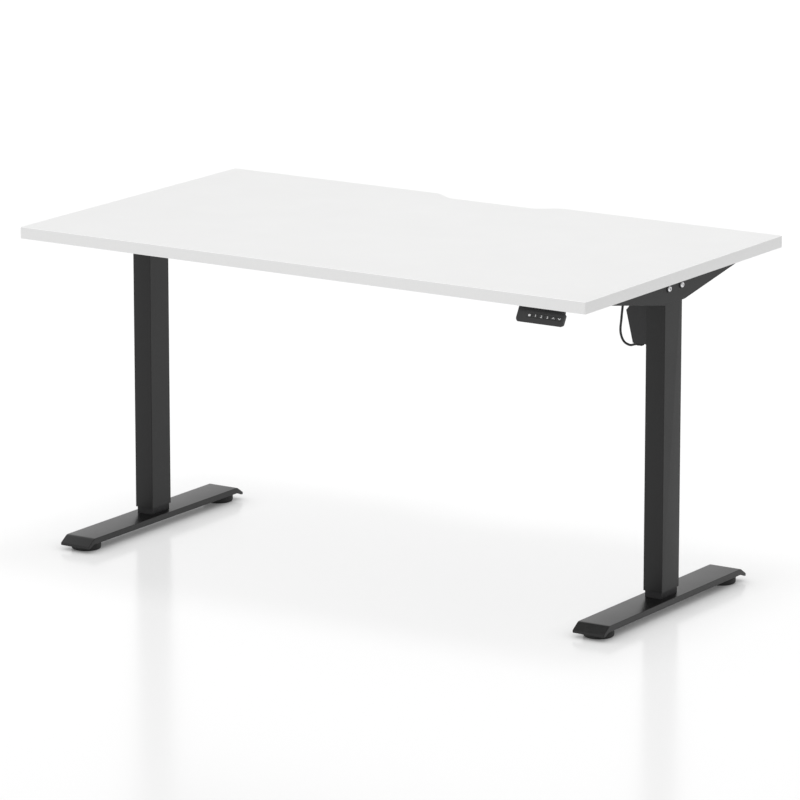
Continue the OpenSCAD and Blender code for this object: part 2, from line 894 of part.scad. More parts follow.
module power_inlet() {
    z0 = box_z + box_t + 1.2;
    z1 = z0 + inlet_h - 0.4;
    y0 = inlet_y - inlet_w / 2 + 0.2;
    y1 = inlet_y + inlet_w / 2 - 0.2;
    color(dark) {
        difference() {
            union() {
                block([box_x - 1, y0, z0], [box_x + 11, y1, z1]);
                block([box_x - 1.5, y0 - 3, z0 - 1.7], [box_x, y1 + 3, z1 + 1.7]);
            }
            block([box_x - 3, y0 + 3, z0 + 2], [box_x + 8.5, y1 - 3, z1 - 2]);
        }
        for (y = [-8, 0, 8]) {
            block([box_x + 4, inlet_y + y - 1, z0 + 5], [box_x + 9, inlet_y + y + 1, z1 - 5]);
        }
    }
}

// ---- Handset ----

// Puts its children on the handset's face: local X to the right, Y up the face and Z out of it.
module on_face() {
    translate([handset_x, face_y, face_z]) rotate([90 - handset_lean, 0, 0]) children();
}

// Outline of the handset from the front, with its upper right corner cut off and a large lower left corner
corner_cut = [17, 13];
function handset_outline() = let (x = handset_w / 2, z = handset_h / 2) concat(
    [[x, z - corner_cut.y], [x - corner_cut.x, z]],
    arc([5 - x, z - 5], 5, 90, 180),
    arc([8 - x, 8 - z], 8, 180, 270),
    arc([x - 3, 3 - z], 3, 270, 360)
);

// A slice of the handset in Y and Z: its leaning face, from one depth behind the face to another
function face_point(z, back) = [-top_d / 2 + (z - handset_z) * lean_s / lean_c + back / lean_c, z];
function slab_side(front, back) = [
    face_point(handset_z, front), face_point(handset_z, back), face_point(under_z, back), face_point(under_z, front),
];

// A slice of the housing behind it, which carries the screws and the cable
housing_z = handset_z + 10;
function housing_side(front) = [
    face_point(housing_z, front),
    [handset_rear - 8, housing_z],
    [handset_rear, housing_z + 8],
    [handset_rear, under_z],
    face_point(under_z, front),
];

module handset_form(outline, side) {
    intersection() {
        translate([handset_x, -top_d / 2 + 50, face_z]) rotate([90, 0, 0]) linear_extrude(100) polygon(outline);
        translate([handset_x - handset_w / 2, 0, 0]) rotate([90, 0, 90]) linear_extrude(handset_w) polygon(side);
    }
}

module housing(w, side) {
    translate([handset_x - w / 2, 0, 0]) rotate([90, 0, 90]) linear_extrude(w) polygon(side);
}

module handset_case() {
    color(black) difference() {
        union() {
            handset_form(handset_outline(), slab_side(panel_t, slab_t));
            housing(housing_w, housing_side(slab_t - 1));
            for (s = handset_screws) {
                block([s.x - 7, handset_rear - 3, under_z - case_t], [s.x + 7, handset_rear + 12, under_z]);
            }
        }
        handset_form(shrink(handset_outline(), case_t), slab_side(-20, slab_t - 1.5));
        housing(housing_w - 2 * case_t, shrink(housing_side(slab_t - 4 - case_t), case_t));
        translate([handset_x, handset_rear - 5, under_z - 13]) rotate([-90, 0, 0])
            cylinder(h = 10, r = handset_cord_r + 1, $fn = 32);
        screw_holes(handset_screws);
    }
}

module handset_panel() {
    color(dark) difference() {
        handset_form(handset_outline(), slab_side(0, panel_t));
        on_face() for (i = [0 : 5]) {
            x = first_key + i * key_pitch;
            block(
                [x - key_w / 2 - key_gap, key_y - key_h / 2 - key_gap, -10],
                [x + key_w / 2 + key_gap, key_y + key_h / 2 + key_gap, 5]
            );
        }
    }
}

module handset_board() {
    x = handset_w / 2 - case_t;
    y = face_h / 2 - 9;
    cut = 5;
    color("#2f6b46") on_face() translate([0, 0, -key_back - 2.2]) linear_extrude(1.2)
        polygon([
            [-x, cut - y], [cut - x, -y], [x - cut, -y], [x, cut - y],
            [x, y - corner_cut.y / 2], [x - corner_cut.x / 2, y], [-x, y],
        ]);
}

module key(i) {
    x = first_key + i * key_pitch;
    low = [x - key_w / 2, key_y - key_h / 2, -key_back];
    color(dark) on_face() block(low, low + [key_w, key_h, key_back + key_top]);
}

module key_memory() {
    key(0);
}

module key_one() {
    key(1);
}

module key_two() {
    key(2);
}

module key_three() {
    key(3);
}

module key_up() {
    key(4);
}

module key_down() {
    key(5);
}

// ---- Feet ----

function foot_side() = [
    [-foot_flat / 2 - foot_slope, foot_top - foot_drop - foot_lip],
    [-foot_flat / 2 - foot_slope + foot_sheet + 2, foot_top - foot_drop - foot_lip],
    [-foot_flat / 2, wall_z],
    [foot_flat / 2, wall_z],
    [foot_flat / 2 + foot_slope - foot_sheet - 2, foot_top - foot_drop - foot_lip],
    [foot_flat / 2 + foot_slope, foot_top - foot_drop - foot_lip],
    [foot_flat / 2 + foot_slope, foot_top - foot_drop],
    [foot_flat / 2, foot_top],
    [-foot_flat / 2, foot_top],
    [-foot_flat / 2 - foot_slope, foot_top - foot_drop],
];

// The space under a foot's sheet, in Y and Z
function foot_hollow() = let (y = foot_flat / 2, s = foot_sheet) [
    [-y - foot_slope + s, 0],
    [y + foot_slope - s, 0],
    [y + foot_slope - s, foot_top - foot_drop - s * 0.6],
    [y - s * 0.6, foot_top - s],
    [-y + s * 0.6, foot_top - s],
    [-y - foot_slope + s, foot_top - foot_drop - s * 0.6],
];

module foot_screw_places() {
    for (x = [-10, 10], y = [-20, 20]) {
        translate([leg_x + x, y, foot_top]) children();
    }
}

// The folded sheet with the two threaded bosses that are welded under it
module foot() {
    difference() {
        union() {
            difference() {
                translate([leg_x - foot_w / 2, 0, 0]) rotate([90, 0, 90])
                    linear_extrude(foot_w) polygon(foot_side());
                translate([leg_x - foot_w / 2 + foot_sheet, 0, 0]) rotate([90, 0, 90])
                    linear_extrude(foot_w - 2 * foot_sheet) polygon(foot_hollow());
            }
            for (y = [-pad_y, pad_y]) {
                translate([leg_x, y, boss_z])
                    cylinder(h = foot_top - foot_sheet + 1 - boss_z, r = boss_r, $fn = round_fn);
            }
        }
        for (y = [-pad_y, pad_y]) {
            translate([leg_x, y, boss_z - 1])
                cylinder(h = foot_top - foot_sheet - boss_z + 1, r = stud_r + turn_play, $fn = round_fn);
        }
        foot_screw_places() cylinder(h = 30, r = foot_screw_r + 0.3, center = true, $fn = 32);
    }
}

module foot_left() {
    color(black) on_side("left") foot();
}

module foot_right() {
    color(black) on_side("right") foot();
}

module foot_screws() {
    foot_screw_places() {
        translate([0, 0, -foot_sheet - 3]) difference() {
            cylinder(h = 3, r = foot_screw_r + 2.5, $fn = 32);
            translate([0, 0, -1]) cylinder(h = 3, r = foot_screw_r * 0.7, $fn = 6);
        }
        translate([0, 0, -foot_sheet - 0.5]) cylinder(h = foot_sheet + end_plate + 2, r = foot_screw_r, $fn = 32);
    }
}

module foot_screws_left() {
    color(steel) on_side("left") foot_screws();
}

module foot_screws_right() {
    color(steel) on_side("right") foot_screws();
}

// ---- Levelling pads, each on its own threaded stud ----

module pad(side, y) {
    color(dark) on_side(side) translate([leg_x, y, 0]) difference() {
        rotate_extrude($fn = 64) polygon(concat(
            [[0, 0]],
            [for (t = [-90 : 18 : 0]) [pad_r - 4 + 4 * cos(t), 4 + 4 * sin(t)]],
            [[pad_r, pad_disc], [pad_neck_r, pad_disc], [pad_neck_r, foot_top - foot_sheet], [0, foot_top - foot_sheet]]
        ));
        translate([0, 0, 2]) cylinder(h = 40, r = boss_r + 1, $fn = round_fn);
        translate([0, 0, -1]) cylinder(h = 5, r = stud_r, $fn = round_fn);
    }
}

module stud(side, y) {
    color(steel) on_side(side) translate([leg_x, y, 2]) difference() {
        union() {
            cylinder(h = 3, r = stud_head, $fn = round_fn);
            cylinder(h = foot_top - foot_sheet - 3, r = stud_r, $fn = round_fn);
        }
        translate([0, 0, -1]) cylinder(h = 4.5, r = 2.5, $fn = 6);
    }
}

module pad_front_left() {
    pad("left", -pad_y);
}

module pad_rear_left() {
    pad("left", pad_y);
}

module pad_front_right() {
    pad("right", -pad_y);
}

module pad_rear_right() {
    pad("right", pad_y);
}

module stud_front_left() {
    stud("left", -pad_y);
}

module stud_rear_left() {
    stud("left", pad_y);
}

module stud_front_right() {
    stud("right", -pad_y);
}

module stud_rear_right() {
    stud("right", pad_y);
}

desktop_board();
edge_banding();
side_bracket_left();
side_bracket_right();
bracket_bolts();
bracket_washers();
desktop_screws();
crossbeam_end_left();
crossbeam_end_right();
crossbeam_sleeves();
outer_tube_left();
outer_tube_right();
guide_collar_left();
guide_collar_right();
gearbox_left();
gearbox_right();
thrust_bearings();
motor_cover();
drive_motor();
motor_gearbox();
cable_gland();
motor_cable();
cable_clips();
handset_cable();
control_box_base();
control_box_lid();
control_board();
power_inlet();
handset_case();
handset_panel();
handset_board();
key_memory();
key_one();
key_two();
key_three();
key_up();
key_down();
hex_shaft();
shaft_gears();
worm_wheel();
spindle_left();
spindle_right();
spindle_gear_left();
spindle_gear_right();
inner_tube_left();
inner_tube_right();
spindle_nut_left();
spindle_nut_right();
foot_left();
foot_right();
foot_screws_left();
foot_screws_right();
pad_front_left();
pad_rear_left();
pad_front_right();
pad_rear_right();
stud_front_left();
stud_rear_left();
stud_front_right();
stud_rear_right();
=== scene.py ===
import math

import bmesh
import bpy
import numpy as np
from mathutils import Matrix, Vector


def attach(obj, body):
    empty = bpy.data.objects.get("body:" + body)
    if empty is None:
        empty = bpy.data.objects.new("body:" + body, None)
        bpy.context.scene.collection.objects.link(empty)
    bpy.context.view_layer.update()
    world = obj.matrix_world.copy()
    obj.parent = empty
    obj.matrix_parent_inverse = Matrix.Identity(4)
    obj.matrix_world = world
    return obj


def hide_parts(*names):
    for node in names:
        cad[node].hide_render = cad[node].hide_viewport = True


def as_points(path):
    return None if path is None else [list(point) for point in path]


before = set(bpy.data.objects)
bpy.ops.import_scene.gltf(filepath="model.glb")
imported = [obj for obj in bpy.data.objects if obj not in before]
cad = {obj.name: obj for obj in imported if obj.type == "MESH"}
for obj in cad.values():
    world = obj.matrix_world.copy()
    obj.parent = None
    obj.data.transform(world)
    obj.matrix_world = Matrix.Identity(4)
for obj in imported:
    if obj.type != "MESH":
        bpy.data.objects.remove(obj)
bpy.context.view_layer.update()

mm = 0.001  # shapes are worked out in millimetres and put into meshes in metres


# Camera. Places are in metres.

camera = {"place": (6.14049, -9.43523, 2.9907), "target": (0.0007, 0, 0.3623), "lens": 244.76, "sensor": 36}


def aimed(name, data, facts):  # puts a camera or a lamp at its place, turned towards its target
    holder = bpy.data.objects.new(name, data)
    holder.location = facts["place"]
    aim = Vector(facts["target"]) - Vector(facts["place"])
    holder.rotation_euler = aim.to_track_quat("-Z", "Y").to_euler()
    bpy.context.scene.collection.objects.link(holder)
    return holder


def placeCamera():
    data = bpy.data.cameras.new("deskCamera")
    data.lens, data.sensor_width, data.clip_end = camera["lens"], camera["sensor"], 200
    bpy.context.scene.camera = aimed("deskCamera", data, camera)


placeCamera()
print("camera placed")


class Wire:
    # One socket of a material's nodes. Sums and products of wires add the Math nodes that work them out.
    def __init__(self, tree, socket=None):
        self.tree, self.socket = tree, socket

    def node(self, kind, settings, sockets, out=0):
        made = self.tree.nodes.new("ShaderNode" + kind)
        for key, value in settings.items():
            setattr(made, key, value)
        for key, value in sockets.items():
            socket = made.inputs[key]
            if isinstance(value, Wire):
                self.tree.links.new(value.socket, socket)
            else:
                socket.default_value = (*value, 1) if socket.type == "RGBA" and len(value) == 3 else value
        return Wire(self.tree, made.outputs[out]) if made.outputs else None

    def sum(self, operation, *values):
        return self.node("Math", {"operation": operation}, dict(enumerate(values)))

    def __add__(self, other):
        return self.sum("ADD", self, other)

    def __sub__(self, other):
        return self.sum("SUBTRACT", self, other)

    def __rsub__(self, other):
        return self.sum("SUBTRACT", other, self)

    def __mul__(self, other):
        return self.sum("MULTIPLY", self, other)

    __radd__, __rmul__ = __add__, __mul__

    def tint(self, low, high):  # one colour where the wire is 0, and the other where it is 1
        return self.node("Mix", {"data_type": "RGBA"}, {0: self, 6: low, 7: high}, out=2)

    def ramp(self, low, high):  # 0 below low, 1 above high, smooth between
        sockets = {0: self, 1: low, 2: high, 3: 0, 4: 1}
        return self.node("MapRange", {"interpolation_type": "SMOOTHSTEP"}, sockets)

    def place(self, stretch=(1, 1, 1)):
        spot = self.node("TexCoord", {}, {}, out="Object")
        return self.node("Mapping", {}, {"Vector": spot, "Scale": stretch})

    def noise(self, size, detail=2, stretch=(1, 1, 1)):  # size is the width of a blotch, in millimetres
        sockets = {"Vector": self.place(stretch), "Scale": 1 / (size * mm), "Detail": detail}
        return self.node("TexNoise", {}, sockets, out="Fac")

    def cells(self, size, feature="F1"):
        sockets = {"Vector": self.place(), "Scale": 1 / (size * mm)}
        return self.node("TexVoronoi", {"feature": feature}, sockets, out="Distance")

    def bump(self, depth, strength=0.5):  # depth in millimetres
        return self.node("Bump", {}, {"Height": self, "Strength": strength, "Distance": depth * mm}, out="Normal")


def coat(name, recipe, **fixed):
    # A material: the recipe returns what changes over the surface, and fixed holds the shader's own values.
    made = bpy.data.materials.new(name)
    made.use_nodes = True
    tree = made.node_tree
    tree.nodes.clear()
    values = {key.replace("_", " "): value for key, value in fixed.items()}
    wire = Wire(tree)
    shader = wire.node("BsdfPrincipled", {}, {**values, **recipe(wire)})
    wire.node("OutputMaterial", {}, {"Surface": shader})
    return made


# Finishes

def laminate(wire):
    pores, cloud = wire.noise(0.5, 3), wire.noise(140, 3)
    return {
        "Base Color": cloud.tint((0.72, 0.72, 0.717), (0.75, 0.75, 0.748)),
        "Roughness": 0.33 + wire.noise(60, 4) * 0.1 + pores * 0.06,
        "Normal": pores.bump(0.02, 0.35),
    }


# Painted light: the edge band is paler than the top's laminate, so that the desk's side faces come out as if the front
# light fell on them more strongly than on the top.
def edging(wire):
    drawn = wire.noise(0.9, 2, (1, 1, 0.06))
    return {
        "Base Color": drawn.tint((0.84, 0.84, 0.836), (0.87, 0.87, 0.868)),
        "Roughness": 0.27 + wire.noise(18, 3) * 0.12,
        "Normal": drawn.bump(0.015, 0.3),
    }


def powder(grey, gloss):
    def recipe(wire):
        peel, cloud = wire.noise(1.1, 2), wire.noise(70, 3)
        flecks = 1 - wire.cells(0.45).ramp(0.1, 0.5)
        base = cloud.tint((grey * 0.8, grey * 0.8, grey * 0.83), (grey * 1.2, grey * 1.2, grey * 1.24))
        return {
            "Base Color": (flecks * 0.3).tint(base, (grey * 2.4, grey * 2.4, grey * 2.5)),
            "Roughness": gloss + peel * 0.12 + cloud * 0.06,
            "Normal": (peel - flecks * 0.3).bump(0.05, 0.4),
        }
    return recipe


def moulded(low, high, gloss, grain=0.35, depth=0.04):
    def recipe(wire):
        spark, cloud = wire.noise(grain, 3), wire.noise(25, 3)
        return {
            "Base Color": (cloud * 0.6 + spark * 0.4).tint(low, high),
            "Roughness": gloss + spark * 0.15 + cloud * 0.06,
            "Normal": spark.bump(depth, 0.45),
        }
    return recipe


def metal(low, high, gloss, stretch=(1, 1, 1), grain=0.5):
    def recipe(wire):
        lines, stain = wire.noise(grain, 3, stretch), wire.noise(22, 4)
        return {
            "Base Color": (stain * 0.7 + lines * 0.3).tint(low, high),
            "Roughness": gloss + lines * 0.14 + stain * 0.1,
            "Normal": lines.bump(0.02, 0.35),
        }
    return recipe


def castMetal(wire):
    grains, stain = wire.cells(0.9), wire.noise(15, 4)
    return {
        "Base Color": stain.tint((0.36, 0.37, 0.38), (0.48, 0.49, 0.5)),
        "Roughness": 0.42 + stain * 0.15,
        "Normal": grains.bump(0.12, 0.5),
    }


def sheath(wire):
    # lay holds the cosine and sine of the angle round the cable, and the length along it in metres
    lay = wire.node("Attribute", {"attribute_name": "lay"}, {}, out="Vector")
    drawn = wire.node("Mapping", {}, {"Vector": lay, "Scale": (9, 9, 60)})
    lines = wire.node("TexNoise", {}, {"Vector": drawn, "Scale": 1, "Detail": 3}, out="Fac")
    dull = wire.noise(7, 3)
    return {
        "Base Color": dull.tint((0.011, 0.011, 0.012), (0.019, 0.019, 0.02)),
        "Roughness": 0.42 + dull * 0.14 + lines * 0.08,
        "Normal": lines.bump(0.08, 0.4),
    }


def circuit(wire):
    tracks = wire.cells(3.2, "DISTANCE_TO_EDGE").ramp(0.06, 0.09)
    pads = wire.cells(5.1).ramp(0.16, 0.2)
    mask = tracks.tint((0.03, 0.17, 0.07), (0.012, 0.09, 0.035))
    return {
        "Base Color": pads.tint((0.55, 0.5, 0.36), mask),
        "Roughness": 0.3 + wire.noise(9) * 0.12,
        "Normal": (1 - tracks).bump(0.04, 0.4),
    }


def rubber(wire):
    skin, dust = wire.noise(0.6, 3), wire.noise(12, 4)
    return {
        "Base Color": dust.ramp(0.4, 0.8).tint((0.012, 0.012, 0.012), (0.024, 0.024, 0.023)),
        "Roughness": 0.55 + dust * 0.2 + skin * 0.08,
        "Normal": skin.bump(0.07, 0.5),
    }


coats = {
    "laminate": coat("whiteLaminate", laminate, Specular_IOR_Level=0.4),
    # the edging's paler colour is painted light on the desk's side faces
    "edging": coat("whiteEdgingPaintedLight", edging, Specular_IOR_Level=0.4),
    "powder": coat("blackPowder", powder(0.005, 0.36), Specular_IOR_Level=0.4),
    "footPowder": coat("blackPowderFeet", powder(0.005, 0.22), Specular_IOR_Level=0.41),
    # Painted shade: the inner tubes get a duller copy of the black coat, with a paler base, less gloss and less
    # reflection, so that they look as dark as the shade that falls on them near the feet.
    "innerPowderPaintedShade": coat("blackPowderInnerPaintedShade", powder(0.024, 0.45), Specular_IOR_Level=0.3),
    "bright": coat("brightBolt", metal((0.7, 0.7, 0.71), (0.85, 0.85, 0.86), 0.16, (1, 1, 1), 0.3), Metallic=1.0),
    "blackWasher": coat("blackenedSteel", metal((0.018, 0.018, 0.02), (0.04, 0.04, 0.042), 0.34), Metallic=0.6),
    "zinc": coat("zincPlate", metal((0.5, 0.52, 0.55), (0.68, 0.69, 0.7), 0.24), Metallic=1.0),
    "guide": coat("guidePlastic", moulded((0.02, 0.02, 0.021), (0.03, 0.03, 0.031), 0.38)),
    "nut": coat("nutPlastic", moulded((0.62, 0.59, 0.5), (0.7, 0.67, 0.58), 0.34)),
    "cast": coat("castAluminium", castMetal, Metallic=1.0),
    "steel": coat("turnedSteel", metal((0.5, 0.5, 0.51), (0.63, 0.63, 0.64), 0.16, (1, 1, 9), 0.25), Metallic=1.0),
    "shaftSteel": coat(
        "drawnSteel", metal((0.42, 0.42, 0.43), (0.58, 0.58, 0.59), 0.22, (0.03, 1, 1), 0.25), Metallic=1.0),
    "bronze": coat("gearBronze", metal((0.52, 0.35, 0.15), (0.66, 0.46, 0.21), 0.24), Metallic=1.0),
    "motorCan": coat("motorCan", metal((0.45, 0.46, 0.47), (0.6, 0.61, 0.62), 0.28, (1, 1, 0.2), 0.4), Metallic=1.0),
    "cover": coat(
        "coverPlastic", moulded((0.012, 0.012, 0.0125), (0.019, 0.019, 0.02), 0.36, 0.5, 0.06),
        Specular_IOR_Level=0.42),
    "gland": coat("glandRubber", rubber),
    "sheath": coat("cableSheath", sheath),
    "clip": coat("clipPlastic", moulded((0.015, 0.015, 0.016), (0.022, 0.022, 0.023), 0.34)),
    "box": coat("boxPlastic", moulded((0.014, 0.014, 0.015), (0.021, 0.021, 0.022), 0.38, 0.6, 0.07)),
    "circuit": coat("circuitBoard", circuit),
    "inlet": coat("inletPlastic", moulded((0.01, 0.01, 0.0105), (0.016, 0.016, 0.017), 0.28)),
    "handset": coat("handsetPlastic", moulded((0.02, 0.02, 0.0205), (0.028, 0.028, 0.029), 0.34, 0.3, 0.04)),
    "face": coat("handsetFace", moulded((0.014, 0.014, 0.0145), (0.02, 0.02, 0.021), 0.22, 0.4, 0.02)),
    "mark": coat("markInk", moulded((0.8, 0.8, 0.8), (0.88, 0.88, 0.88), 0.4, 0.3, 0.01)),
    "pad": coat("padRubber", rubber),
}
print("finishes made:", len(coats))


# Shapes

def arc(x, y, radius, start, end, steps=8):
    # Points at equal angles round a centre: the cosine and sine of each angle times the radius, past the centre
    turn = np.radians(np.linspace(start, end, steps + 1))
    return np.stack([x + radius * np.cos(turn), y + radius * np.sin(turn)], -1)


def roundedOutline(width, depth, radius, steps=6):
    # A rectangle round the origin as four quarter circles, one at each corner, anticlockwise
    x, y = width / 2 - radius, depth / 2 - radius
    corners = [(x, y, 0), (-x, y, 90), (-x, -y, 180), (x, -y, 270)]
    return np.vstack([arc(cx, cy, radius, a, a + 90, steps) for cx, cy, a in corners])


def drawnIn(outline, inset):
    # Each side of an anticlockwise outline is moved inwards by inset along its normal, and meets its neighbours again.
    def normal(side):
        return np.stack([-side[:, 1], side[:, 0]], -1) / np.linalg.norm(side, axis=1)[:, None]
    before, after = normal(outline - np.roll(outline, 1, 0)), normal(np.roll(outline, -1, 0) - outline)
    return outline + inset * (before + after) / (1 + (before * after).sum(1))[:, None]


def softened(past, width):
    # 0 well before the crease and past itself well after it: width times the logarithm of 1 + exp(past / width)
    return width * np.logaddexp(0, past / width)


class Skin:
    # One piece's mesh, gathered from grids of points in millimetres
    def __init__(self):
        self.points, self.faces, self.lay, self.count = [], [], [], 0

    def add(self, grid, around=True, along=False, caps=(True, True), strips=False):
        # around joins each row's ends, along joins the last row to the first; caps fill the end rows,
        # and strips fills them with quads between the points that face each other across x
        rows, cols = grid.shape[:2]
        i, j = np.meshgrid(np.arange(rows - (not along)), np.arange(cols - (not around)), indexing="ij")
        down, across = (i + 1) % rows, (j + 1) % cols
        quads = np.stack([i * cols + j, i * cols + across, down * cols + across, down * cols + j], -1)
        self.faces += (quads.reshape(-1, 4) + self.count).tolist()
        for row, wanted in zip((0, rows - 1), caps):
            first = self.count + row * cols
            if not wanted or along or not around:
                continue
            if strips:
                k = np.arange(cols // 2 - 1)
                self.faces += (np.stack([k, k + 1, cols - 2 - k, cols - 1 - k], -1) + first).tolist()
            else:
                self.faces.append(list(range(first, first + cols)))
        self.points.append(grid.reshape(-1, 3))
        self.count += rows * cols
        return self

    def piece(self, name, body, slot, finish, replaced=(), sharp=40):
        mesh = bpy.data.meshes.new(name)
        mesh.from_pydata((np.vstack(self.points) * mm).tolist(), [], self.faces)
        if self.lay:
            lay = mesh.attributes.new("lay", "FLOAT_VECTOR", "POINT")
            lay.data.foreach_set("vector", np.vstack(self.lay).astype(np.float32).ravel())
        shell = bmesh.new()
        shell.from_mesh(mesh)
        bmesh.ops.recalc_face_normals(shell, faces=shell.faces)
        shell.to_mesh(mesh)
        shell.free()
        return settle(name, mesh, body, finish, replaced, sharp)


def settle(name, mesh, body, finish, replaced=(), sharp=40):
    mesh.shade_smooth()
    mesh.set_sharp_from_angle(angle=math.radians(sharp))
    mesh.materials.clear()
    mesh.materials.append(coats[finish])
    made = bpy.data.objects.new(name, mesh)
    bpy.context.scene.collection.objects.link(made)
    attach(made, body)
    if replaced:
        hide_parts(*([replaced] if isinstance(replaced, str) else replaced))
    return made


def spun(section, centre, axis="z", steps=48, reach=None):
    # A section of (radius, height) points turned about an axis; reach scales each radius by the angle
    turn = np.linspace(0, 2 * np.pi, steps, endpoint=False)
    section = np.asarray(section, float)
    radius = section[:, :1] * np.ones(steps) if reach is None else reach(section, turn)
    flat = np.stack([radius * np.cos(turn), radius * np.sin(turn), section[:, 1:2] + 0 * radius], -1)
    order = {"z": (0, 1, 2), "x": (2, 0, 1)}[axis]
    return flat[..., order] + np.array(centre, float)


def rounds(points, times=3):
    # Corners cut three times over, a quarter in from each end of every stretch, so that the line comes out smooth
    points = np.asarray(points, float)
    for _ in range(times):
        a, b = points[:-1], points[1:]
        cut = np.stack([0.75 * a + 0.25 * b, 0.25 * a + 0.75 * b], 1).reshape(-1, 3)
        points = np.vstack([points[:1], cut, points[-1:]])
    return points


def tubeAlong(path, radius, sides=14):
    # A circle carried along a path: its plane is square to the path, and its first radius is square to a fixed slant
    step = np.gradient(path, axis=0)
    step /= np.linalg.norm(step, axis=1)[:, None]
    side = np.cross(step, (1, 1, 1))
    side /= np.linalg.norm(side, axis=1)[:, None]
    up = np.cross(step, side)
    turn = np.linspace(0, 2 * np.pi, sides, endpoint=False)[None, :, None]
    radius = np.broadcast_to(radius, len(path))[:, None, None]
    grid = path[:, None] + radius * (np.cos(turn) * side[:, None] + np.sin(turn) * up[:, None])
    run = np.append(0, np.cumsum(np.linalg.norm(np.diff(path, axis=0), axis=1))) * mm
    lay = np.stack(np.broadcast_arrays(np.cos(turn[..., 0]), np.sin(turn[..., 0]), run[:, None]), -1)
    return grid, lay.reshape(-1, 3), run[-1]


# Cables

motorCable = {
    "radius": 2.5,
    "boots": (9, 15),  # lengths of the strain reliefs at the start and at the plug
    "route": [
        (598, -18, 561), (593, -18, 561), (587, -18, 558), (579, -18, 555), (570, -18, 557), (564, -18, 560),
        (559, -18, 566), (556, -18, 573), (554, -18, 581), (554, -18, 592), (556, -18, 606), (557, -18, 620),
        (559, -18, 636), (560, -18, 650), (560, -17, 664), (560, -15, 676), (560, -11, 686), (560, -4, 694),
        (560, 6, 699), (560, 18, 700), (560, 34, 700), (560, 58, 700), (560, 80, 700), (560, 100, 700),
        (559, 113, 700), (555, 125, 699), (548, 135, 698), (539, 143, 696), (528, 148, 693), (515, 150, 689),
        (501, 150, 684), (487, 150, 679), (474, 150, 675), (462, 150, 673), (450, 150, 673),
    ],
}
handsetCable = {
    "radius": 2,
    "boots": (14, 15),
    "route": [
        (590, -360, 690), (590, -352, 690), (590, -344, 692), (588, -335, 695), (584, -325, 698), (577, -315, 700),
        (568, -306, 700), (556, -296, 700), (544, -285, 700), (534, -273, 700), (526, -259, 700), (521, -243, 700),
        (520, -226, 700), (520, -200, 700), (520, -170, 700), (520, -130, 700), (520, -90, 700), (520, -60, 700),
        (520, -30, 700), (520, 0, 700), (520, 30, 700), (520, 56, 700), (519, 70, 700), (516, 82, 699),
        (511, 92, 697), (504, 100, 694), (495, 106, 690), (485, 109, 685), (475, 110, 680), (466, 110, 676),
        (458, 110, 673), (450, 110, 673),
    ],
}


boot = {"thick": 2.2, "taper": 1.6, "pitch": 2.5, "groove": 0.35}


def layCable(name, facts, node):
    path, skin = rounds(facts["route"]), Skin()
    grid, lay, length = tubeAlong(path, facts["radius"])
    skin.add(grid)
    skin.lay.append(lay)
    cable = skin.piece(name, "upper_frame", "cable_sheath", "sheath", node)
    first, last = facts["boots"]
    boots = [ribbedBoot(name + "Boot", path, first, facts["radius"]),
             ribbedBoot(name + "PlugBoot", path[::-1], last, facts["radius"])]
    path[0] * mm
    2 * facts["radius"] * mm
    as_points(path * mm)
    print(name, "is", round(length, 3), "m long")


def ribbedBoot(name, path, reach, radius):
    # A sleeve round the cable's first stretch, which tapers and has evenly spaced ribs
    run = np.append(0, np.cumsum(np.linalg.norm(np.diff(path, axis=0), axis=1)))
    along = np.linspace(0, reach, 40)
    line = np.stack([np.interp(along, run, path[:, k]) for k in range(3)], -1)
    groove = np.cos(2 * np.pi * along / boot["pitch"]) > 0.3
    outer = radius + boot["thick"] - boot["taper"] * along / reach - boot["groove"] * groove
    grid, _, _ = tubeAlong(line, outer, 18)
    return Skin().add(grid).piece(name, "upper_frame", "gland_rubber", "gland")


layCable("motorCable", motorCable, "motor_cable")
layCable("handsetCable", handsetCable, "handset_cable")


# Desktop

desktop = {"width": 1400, "depth": 800, "under": 703, "over": 728, "corner": 4,
           "scoopFloor": 194, "scoopMouth": 330, "scoopDepth": 34, "band": 2, "ease": 1.1}


def desktopOutline():
    # A rounded rectangle whose rear edge drops along half a cosine wave into the scoop and back out of it
    x, y, r = desktop["width"] / 2, desktop["depth"] / 2, desktop["corner"]
    mouth, floor = desktop["scoopMouth"] / 2, desktop["scoopFloor"] / 2
    t = np.linspace(0, 1, 33)
    drop = y - desktop["scoopDepth"] * (1 - np.cos(np.pi * t)) / 2
    down = np.stack([mouth + (floor - mouth) * t, drop], -1)
    back = np.stack([-down[::-1, 0], down[::-1, 1]], -1)
    return np.vstack([arc(x - r, y - r, r, 0, 90), down, back, arc(r - x, y - r, r, 90, 180),
                      arc(r - x, r - y, r, 180, 270), arc(x - r, r - y, r, 270, 360)])


def levels(outline, steps):
    # Rows of an outline: each step gives how far it is drawn in, and its height
    return np.stack([np.column_stack([drawnIn(outline, inset), np.full(len(outline), z)]) for inset, z in steps])


def buildDesktop():
    # The board is its outline at two heights. The strip round it goes up the outside with eased edges, where the
    # inset and the rise follow a quarter circle, and comes back down where it meets the board.
    outline, low, high = desktopOutline(), desktop["under"], desktop["over"]
    band, ease = desktop["band"], desktop["ease"]
    Skin().add(levels(outline, [(band, low), (band, high)])).piece(
        "desktopSlab", "upper_frame", "white_laminate", "laminate", "desktop_board")
    turn = np.radians(np.linspace(0, 90, 6))
    inward, rise = ease * (1 - np.sin(turn)), ease * (1 - np.cos(turn))
    steps = [(band, low), *zip(inward, low + rise), *zip(inward[::-1], high - rise[::-1]), (band, high)]
    Skin().add(levels(outline, steps), along=True).piece(
        "edgeBand", "upper_frame", "white_edging", "edging", "edge_banding")


buildDesktop()
print("desktop done")


# Side brackets: an L folded from sheet, its web tapering from the column to both tips

bracket = {"face": 672, "sheet": 2.5, "flange": 40, "top": 703, "half": 290, "flat": 41, "low": 653.5,
           "tip": 698, "bend": 3, "crease": 9}


